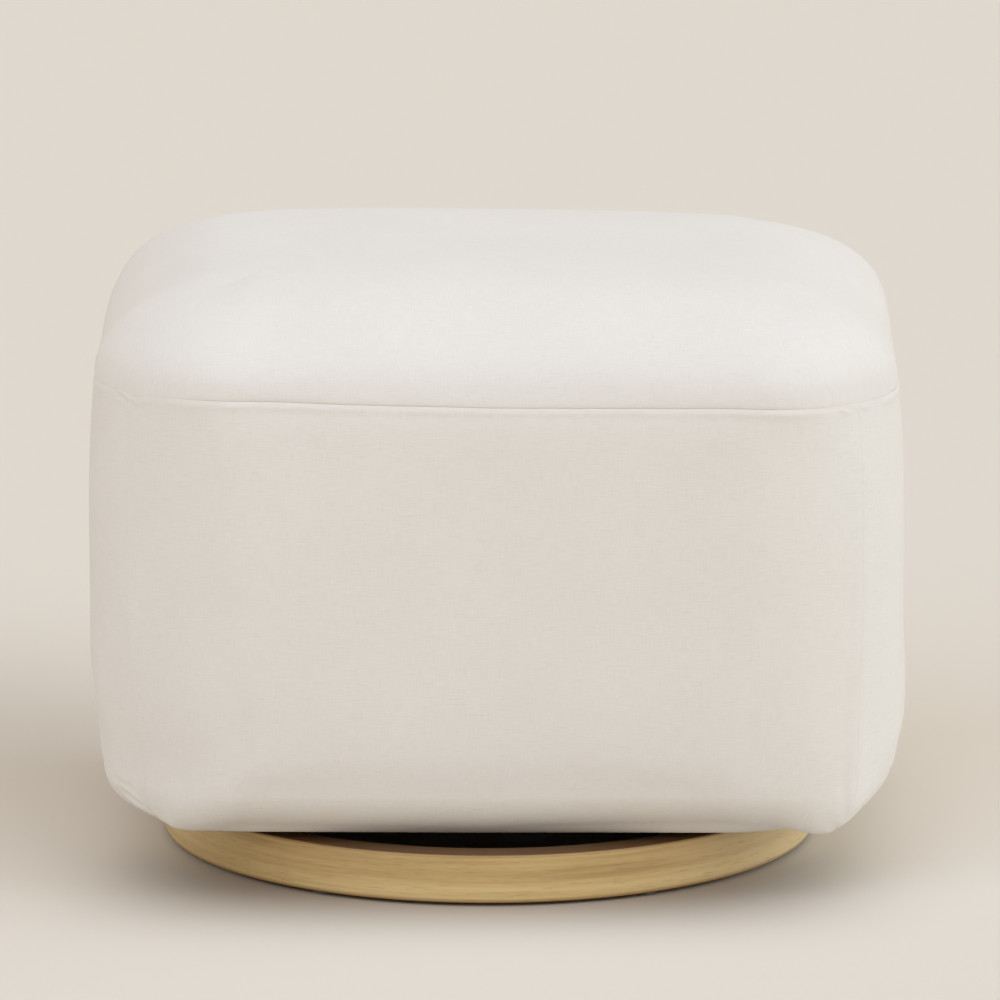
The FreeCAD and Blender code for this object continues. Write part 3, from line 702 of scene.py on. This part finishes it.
def simulateCover():  # the sewn cover, held at its seams, swells over its padding
    cloth, panelPoints, kept, edges = sewnGrids()
    held = cloth.vertex_groups.new(name="held")
    for index, edge in enumerate(edges):
        hold = float(1 - ease(edge, 0.0, clothTest["heldFade"])) if edge > clothTest["onSeam"] else 1.0
        held.add([index], hold, "REPLACE")
    rule = cloth.modifiers.new("cloth", "CLOTH")
    for name, value in clothTest["rules"].items():
        setattr(rule.settings, name, value)
    rule.settings.effector_weights.gravity = 0
    for step in range(1, clothTest["frames"] + 1):
        bpy.context.scene.frame_set(step)
    solved = cloth.evaluated_get(bpy.context.evaluated_depsgraph_get())
    after = {tag: np.array(v.co) for tag, v in zip(kept, solved.data.vertices)}
    bpy.context.scene.frame_set(1)
    for side, (points, column, row, tags) in panelPoints.items():
        grid = np.zeros((column.max() + 1, row.max() + 1, 3))
        for point, c, r, tag in zip(points, column, row, tags):
            if tag in after:
                grid[c, r] = after[tag] - point
        for smoothing in range(clothTest["smoothings"]):
            grid[1:-1, 1:-1] = (grid[1:-1, 1:-1] * 4 + grid[2:, 1:-1] + grid[:-2, 1:-1]
                                + grid[1:-1, 2:] + grid[1:-1, :-2]) / 8
        length = np.linalg.norm(grid, axis=2, keepdims=True)
        simulated[side] = grid * clothTest["cap"] / np.sqrt(clothTest["cap"] ** 2 + length ** 2)
    bpy.data.objects.remove(cloth)
    print("cover simulated")


def movedBy(side, share, drop):  # the simulated move of a side panel at this place
    if not simulated:
        return 0
    drops = coarseTables()[0]
    return cubic(simulated[side], (share + 1) / 2 * clothTest["across"],
                 np.interp(-drop, -drops, np.arange(len(drops))))


def topMovedBy(i, j, climb):  # the same for the top, where i and j count columns and rows from its middle
    if not simulated:
        return 0
    climbs = coarseTables()[2]
    rings = len(climbs) - 1
    ring = np.maximum(np.maximum(np.abs(i), np.abs(j)), 1)
    depth = rings - np.interp(climb, climbs, np.arange(len(climbs)))
    return cubic(simulated["Top"], rings + i / ring * depth, rings + j / ring * depth)


def finishPanel(bm, name, points, height, coords):
    shape(bm, points, height)
    layer = bm.loops.layers.uv.new("fabric")
    for face in bm.faces:
        face.smooth = True
        for loop in face.loops:
            loop[layer].uv = coords[loop.vert.index]
    piece = meshObject(bm, name)
    piece.data.materials.append(finishes["ivory_linen"])
    thicken(piece, "cloth", cover["thickness"])
    dress(piece, name.replace("cover", "cover_").lower())


creases = {  # start and end on the panel, along it and down from its seam, then width and depth
    "Left": [
        ((0.190, 0.3040), (0.2300, 0.3180), 0.0026, 0.0021),
        ((0.200, 0.3170), (0.2277, 0.3235), 0.0020, 0.0010),
        ((0.207, 0.0020), (0.2290, 0.0075), 0.0016, 0.0009),
        ((0.180, 0.2960), (0.2120, 0.3010), 0.0030, 0.0008),
    ],
    "Front": [
        ((-0.2800, 0.3175), (-0.2600, 0.3235), 0.0024, 0.0012),
        ((-0.2790, 0.0060), (-0.2660, 0.0100), 0.0015, 0.0006),
        ((0.2590, 0.0030), (0.2720, 0.0090), 0.0014, -0.0006),
        ((0.2640, 0.0100), (0.2730, 0.0150), 0.0014, -0.0005),
        ((0.2620, 0.3060), (0.2780, 0.3180), 0.0022, 0.0008),
        ((0.2660, 0.2800), (0.2740, 0.3160), 0.0030, 0.0006),
    ],
    "Right": [
        ((-0.2290, 0.3090), (-0.2120, 0.3030), 0.0024, 0.0009),
        ((-0.2290, 0.0060), (-0.2160, 0.0095), 0.0015, 0.0006),
    ],
    "Back": [
        ((-0.2790, 0.3090), (-0.2600, 0.3150), 0.0026, 0.0012),
        ((0.2600, 0.3110), (0.2790, 0.3170), 0.0024, 0.0010),
    ],
}
creaseForm = {"bank": 0.6, "bankAt": 2.1, "endSlope": 0.05, "seamFade": 0.0016}     # with raised banks


def puckers(side, along, drop):  # short creases where the cloth is gathered at a corner
    lift = np.zeros(len(along))
    spot = np.stack([along, drop], axis=1)
    for start, end, width, depth in creases[side]:
        a, b = np.array(start), np.array(end)
        share = np.clip((spot - a) @ (b - a) / ((b - a) @ (b - a)), 0, 1)
        gap = np.linalg.norm(spot - (a + share[:, None] * (b - a)), axis=1)
        ends = creaseForm["endSlope"]
        taper = np.sin(np.pi * (share * (1 - 2 * ends) + ends))
        bank = creaseForm["bank"] * bell(gap, creaseForm["bankAt"] * width, width)
        lift += depth * taper * (bank - bell(gap, 0, width))
    fade = creaseForm["seamFade"]
    return lift * ease((halfRun(side) - np.abs(along)), 0, fade) * ease(drop, 0, fade)


def fading(share, amount, start, full):  # what is left towards the corners
    return 1 - amount * ease(np.abs(share), start, full)


def sidePanel(side):
    run = halfRun(side)
    drops = rowsTo(wallLength + edgeLength + form["hem"], *cover["foldRows"])[::-1]
    half = rowsTo(run, *cover["foldColumns"])
    columns = np.concatenate([half - run, (run - half)[::-1][1:]]) / run
    bm, column, row = flatGrid(len(columns) - 1, len(drops) - 1)
    share, drop = columns[column], drops[row]
    toCorner = (1 - np.abs(share)) * run
    points = settled(wallPoints(side, share, drop))
    points += movedBy(side, share, drop) * ease(np.minimum(toCorner, drop), 0, clothTest["seamFade"])[:, None]
    topSeam = rolled(drop, cover["topGroove"], cover["topRoll"]) * fading(share, *cover["flatter"])
    height = np.minimum(topSeam, rolled(toCorner, cover["cornerGroove"], cover["cornerRoll"]))
    along = share * run
    size, scale, place = cover["ridgeWave"]
    wave = 1 + size * np.array([noise.noise(Vector((x * scale, 0, place))) for x in along])
    ridge = cover["ridge"] * fading(share, *cover["ridgeFade"]) * wave
    height += ridge * bell(drop, cover["ridgePlace"], cover["ridgeWidth"])
    height += swelling(side, toCorner, drop) + puckers(side, along, drop)
    bm.verts.index_update()
    finishPanel(bm, "cover" + side, points, height, np.stack([along, -drop], axis=1))


def crownGrid(column, row, climbs):  # the top panel's points, as rings from the seam to the middle
    rings = len(climbs) - 1
    i, j = column - rings, row - rings
    ring = np.maximum(np.abs(i), np.abs(j))
    climb = climbs[rings - ring]
    points = np.zeros((len(i), 3))
    share = np.zeros(len(i))
    done = np.zeros(len(i), bool)
    whole = np.maximum(ring, 1)
    for side, mine, value in (("Front", j == -ring, i / whole), ("Right", i == ring, j / whole),
                              ("Back", j == ring, -i / whole), ("Left", i == -ring, -j / whole)):
        pick = mine & ~done
        points[pick] = crownPoints(side, value[pick], climb[pick])
        share[pick] = value[pick]
        done |= pick
    return points, share, climb


def lengths(grid, axis, middle):  # how far along the cloth each point of a grid is from its middle line
    steps = np.linalg.norm(np.diff(grid, axis=axis), axis=2)
    first = np.zeros_like(np.take(steps, [0], axis=axis))
    sums = np.concatenate([first, np.cumsum(steps, axis=axis)], axis=axis)
    return sums - np.take(sums, [middle], axis=axis)


def topPanel():
    climbs = rowsTo(topLength)
    rings = len(climbs) - 1
    bm, column, row = flatGrid(2 * rings, 2 * rings)
    points, share, climb = crownGrid(column, row, climbs)
    points = settled(points)
    points += topMovedBy(column - rings, row - rings, climb) * ease(climb, 0, clothTest["seamFade"])[:, None]
    height = rolled(climb, cover["topGroove"], cover["topRoll"]) * fading(share, *cover["flatter"])
    height += cover["proud"] * bell(climb, 0.0, cover["proudWidth"])
    grid = np.zeros((2 * rings + 1, 2 * rings + 1, 3))
    grid[column, row] = points
    coords = np.stack([lengths(grid, axis, rings)[column, row] for axis in (0, 1)], axis=1)
    bm.verts.index_update()
    finishPanel(bm, "coverTop", points, height, coords)


simulateCover()
for side in sides:
    sidePanel(side)
topPanel()
print("cover made")


def softPiece(bm, name, slotName, stands):
    bmesh.ops.remove_doubles(bm, verts=bm.verts, dist=padding["weld"])
    bmesh.ops.recalc_face_normals(bm, faces=bm.faces)
    for face in bm.faces:
        face.smooth = True
    piece = meshObject(bm, name)
    piece.data.materials.append(finishes[slotName])
    dress(piece, stands)
    return piece


def inwards(points, grid, amount):  # moves a grid of points along its own normals
    columns, rows = grid
    net = points.reshape(columns, rows, 3)
    across = np.gradient(net, axis=0)
    down = np.gradient(net, axis=1)
    normal = np.cross(down, across)
    normal /= np.maximum(np.linalg.norm(normal, axis=2, keepdims=True), 1e-9)
    return net - normal * amount


def capped(bm):  # closes the open edges
    caps = bmesh.ops.holes_fill(bm, edges=[e for e in bm.edges if e.is_boundary], sides=0)["faces"]
    bmesh.ops.triangulate(bm, faces=caps)
    return bm


def sideFoam(side):  # a block with a rounded lower edge between the box and the cover
    run = halfRun(side)
    reach = wallLength + edgeLength
    low, top = padding["low"], padding["underDeck"]
    share = np.linspace(-1, 1, round(2 * run / padding["pitch"]) + 1)
    drop = np.linspace(0, reach - padding["lastRow"], round(reach / padding["pitch"]) + 1)
    column, row = np.meshgrid(np.arange(len(share)), np.arange(len(drop)), indexing="ij")
    flat = (share[column.ravel()], drop[row.ravel()])
    net = settled(wallPoints(side, *flat)) + movedBy(side, *flat)
    outer = inwards(net, (len(share), len(drop)), padding["coverGap"] + padding["sideSpare"])
    outer[:, :, 2] = np.clip(outer[:, :, 2], low, top)
    outer[:, 0, 2] = top
    frame = {"halfWidth": padding["frameHalfWidth"], "halfDepth": padding["frameHalfDepth"]}
    a, b = [frame[word] for word in sides[side][2:]]
    r = padding["frameCorner"]
    straight, turn = aroundCorner(side, share)
    plan = np.stack(seenFromAbove(side, np.sign(share) * ((a - r) * straight + r * np.sin(turn)),
                                  b - r + r * np.cos(turn)), axis=1)
    back = np.zeros((len(share), 2, 3))
    back[:, :, :2] = plan[:, None, :]
    back[:, 0, 2], back[:, 1, 2] = low, top
    outer[:, -1, :2] = np.where(np.abs(outer[:, -1, :2]) > np.abs(plan), outer[:, -1, :2], plan)
    loop = np.concatenate([outer, back, outer[:, :1]], axis=1)
    bm, column, row = flatGrid(len(share) - 1, loop.shape[1] - 1)
    for vert, c, k in zip(bm.verts, column, row):
        vert.co = loop[c, k]
    bmesh.ops.remove_doubles(bm, verts=bm.verts, dist=padding["weld"])
    softPiece(capped(bm), "foam" + side, "foam", side.lower() + "_foam")


def crownNet(gap):  # the crown's grid, this far under the cover
    rings = round(topLength / padding["pitch"])
    climbs = np.linspace(padding["deck"] - form["seam"], topLength, rings + 1)
    bm, column, row = flatGrid(2 * rings, 2 * rings)
    points, _, climb = crownGrid(column, row, climbs)
    i, j = column - rings, row - rings
    points = settled(points) + topMovedBy(i, j, climb)
    shape(bm, points, [-gap] * len(points))
    for vert, ring in zip(bm.verts, np.maximum(np.abs(i), np.abs(j))):
        if ring == rings:
            vert.co.z = padding["deck"]
    return bm


def topFoam():
    net = crownNet(padding["coverGap"] + padding["wadding"] + padding["topSpare"])
    softPiece(capped(net), "foamTop", "foam", "top_foam")


def topWadding():
    net = crownNet(padding["coverGap"])
    piece = softPiece(net, "waddingTop", "wadding", "top_wadding")
    thicken(piece, "wadding", padding["wadding"])


for side in sides:
    sideFoam(side)
topFoam()
topWadding()
print("padding made")

lining = {
    "flat": (0.472, 0.372), "half": (0.236, 0.186), "corner": 0.0634, "area": 0.0551,
    "opening": (0.189, 0.1557), "openingCorner": 0.030,
    "cornerPoints": 9, "rows": 9, "pitch": 0.006,
    "rim": 0.0439, "thickness": 0.0008, "modelled": 0.8,     # the share of its thickness that the mesh has
    "slack": 0.0014, "sagShare": 0.5, "stapleReach": 0.016, "rimSlack": 0.15,
    "stapleSteps": (-0.12, -0.06, 0, 0.06, 0.12), "stapleX": 0.20457, "stapleY": 0.16285,
}


def staples():
    steps, x, y = lining["stapleSteps"], lining["stapleX"], lining["stapleY"]
    return [(step, hand * y) for step in steps for hand in (-1, 1)] + [
        (hand * x, step) for step in steps for hand in (-1, 1)]


def roundedLoop(half, corner, count):  # the same count of points on each corner
    centre = (half[0] - corner, half[1] - corner)
    points = []
    for turn, sign in enumerate(((1, 1), (-1, 1), (-1, -1), (1, -1))):
        for k in range(count):
            a = math.pi / 2 * k / (count - 1)
            dx, dy = corner * math.cos(a), corner * math.sin(a)
            if turn in (1, 3):
                dx, dy = dy, dx
            points.append((sign[0] * (centre[0] + dx), sign[1] * (centre[1] + dy)))
    return np.array(points)


def gaps(loop):  # each point of a closed loop with the next
    return list(zip(loop, np.roll(loop, -1, axis=0)))


def meet(loop, angle):  # where a ray from the middle crosses a loop
    d = np.array([math.cos(angle), math.sin(angle)])
    best = None
    for p, q in gaps(loop):
        e = q - p
        cross = d[0] * e[1] - d[1] * e[0]
        if abs(cross) < 1e-12:
            continue
        t = (p[0] * e[1] - p[1] * e[0]) / cross
        u = (p[0] * d[1] - p[1] * d[0]) / cross
        if t > 0 and -1e-6 <= u <= 1 + 1e-6 and (best is None or t > best):
            best = t
    return d * best


def matched(loops):  # the loops at the same angles round the middle, cut alike to the pitch of the first
    angle = np.concatenate([np.arctan2(loop[:, 1], loop[:, 0]) for loop in loops])
    angle = np.sort(np.unique(np.round(angle, 6)))
    loops = [np.array([meet(loop, a) for a in angle]) for loop in loops]
    cuts = [max(1, round(float(np.linalg.norm(q - p)) / lining["pitch"])) for p, q in gaps(loops[0])]
    return [[p + (q - p) * k / count for (p, q), count in zip(gaps(loop), cuts) for k in range(count)]
            for loop in loops]


def liningRing(outer, inner, share):  # one ring of points from the outer edge to the opening
    points, places = [], staples()
    full = lining["slack"] * math.sin(math.pi * min(share + lining["rimSlack"], 1))
    for a, b in zip(outer, inner):
        x, y = a * (1 - share) + b * share
        near = min(math.hypot(x - p, y - q) for p, q in places)
        sag = full * (1 - math.exp(-(near / lining["stapleReach"]) ** 2)) * lining["sagShare"]
        points.append((x, y, lining["rim"] + lining["thickness"] * lining["modelled"] - sag))
    return points


def dustCover():  # thin cloth stapled under the box, a little slack between the staples
    outer, inner = matched([roundedLoop(lining["half"], lining["corner"], lining["cornerPoints"]),
                            roundedLoop(lining["opening"], lining["openingCorner"], lining["cornerPoints"])])
    bm = bmesh.new()
    rings = [[bm.verts.new(point) for point in liningRing(outer, inner, k / lining["rows"])]
             for k in range(lining["rows"] + 1)]
    for first, second in zip(rings, rings[1:]):
        for k in range(len(first)):
            m = (k + 1) % len(first)
            bm.faces.new((first[k], first[m], second[m], second[k]))
    bmesh.ops.recalc_face_normals(bm, faces=bm.faces)
    if sum(face.normal.z for face in bm.faces) < 0:
        bmesh.ops.reverse_faces(bm, faces=bm.faces)
    for face in bm.faces:
        face.smooth = True
    piece = meshObject(bm, "dustCover")
    piece.data.materials.append(finishes["black_lining"])
    thicken(piece, "cloth", lining["thickness"] * lining["modelled"])
    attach(piece, "seat")
    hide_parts("dust_cover")


dustCover()
print("lining made")


studio = {
    "floor": tint(226, 219, 208), "floorHalf": 30.0, "floorRoughness": 0.95,
    "shade": tint(150, 134, 116),
    "paintedShadows": [                              # painted shadows on the floor: middle, reach, power of its edge, strength
        ((-0.010, -0.205), (0.255, 0.088), 5, 0.88), ((-0.42, 0.30), (0.20, 0.30), 2, 0.26),
    ],
    "sky": ((1.0, 0.85, 0.64), 0.566),      # colour and strength of the light from all round
    "softness": 50.0,                       # width of each lamp as the object sees it, in degrees
    "lamps": {                              # turn and height in degrees, then strength in each colour
        "key": (90, 30, (0.135, 0.190, 0.245)),
        "lowRight": (66, 7, (0.200, 0.195, 0.180)),
        "lowLeft": (-52, 7, (0.110, 0.108, 0.100)),
        "high": (60, 80, (0.165, 0.175, 0.200)),
        "fillRight": (45, 45, (0.060, 0.075, 0.105)),
        "fillLeft": (-45, 45, (0.120, 0.165, 0.240)),
    },
    "camera": {
        "away": 6.0, "height": 1.536, "turn": 0.8, "yaw": 0.081, "pitch": 12.09, "film": 36.0, "lens": 293.66,
    },
}


def makeFloor():
    bm = bmesh.new()
    bmesh.ops.create_grid(bm, x_segments=1, y_segments=1, size=studio["floorHalf"])
    floor = meshObject(bm, "floor")
    paper = Shader("palePaper")
    x, y, _ = paper.split(paper.place())
    colour = studio["floor"]
    # each entry paints a soft shadow into the floor colour
    for middle, reach, power, depth in studio["paintedShadows"]:
        spread = abs((x - middle[0]) / reach[0]) ** power + ((y - middle[1]) / reach[1]) ** 2
        colour = paper.blend(spread.math("POWER", math.e, 0.0 - spread) * depth, colour, studio["shade"])
    floor.data.materials.append(paper.finish(colour, studio["floorRoughness"]))


def makeLights():
    world = bpy.data.worlds.new("studio")
    bpy.context.scene.world = world
    world.use_nodes = True
    back = world.node_tree.nodes["Background"]
    colour, strength = studio["sky"]
    back.inputs[0].default_value = (*colour, 1)
    back.inputs[1].default_value = strength
    for name, (turn, rise, strengths) in studio["lamps"].items():
        lamp = bpy.data.lights.new(name, "SUN")
        lamp.energy = math.pi * max(strengths)
        lamp.color = [part / max(strengths) for part in strengths]
        lamp.angle = math.radians(studio["softness"])
        a, e = math.radians(turn), math.radians(rise)
        towards = Vector((-math.sin(a) * math.cos(e), math.cos(a) * math.cos(e), -math.sin(e)))
        placed(name, lamp).rotation_euler = towards.to_track_quat("-Z", "Y").to_euler()


def makeCamera():
    view = studio["camera"]
    lens = bpy.data.cameras.new("camera")
    lens.sensor_width, lens.lens = view["film"], view["lens"]
    camera = placed("camera", lens)
    a = math.radians(view["turn"])
    camera.location = (view["away"] * math.sin(a), -view["away"] * math.cos(a), view["height"])
    camera.rotation_euler = (math.radians(90 - view["pitch"]), 0, math.radians(view["turn"] - view["yaw"]))
    bpy.context.scene.camera = camera


makeFloor()
makeLights()
makeCamera()
bpy.context.scene.view_settings.view_transform = "Standard"
bpy.context.view_layer.update()
print("stage made")
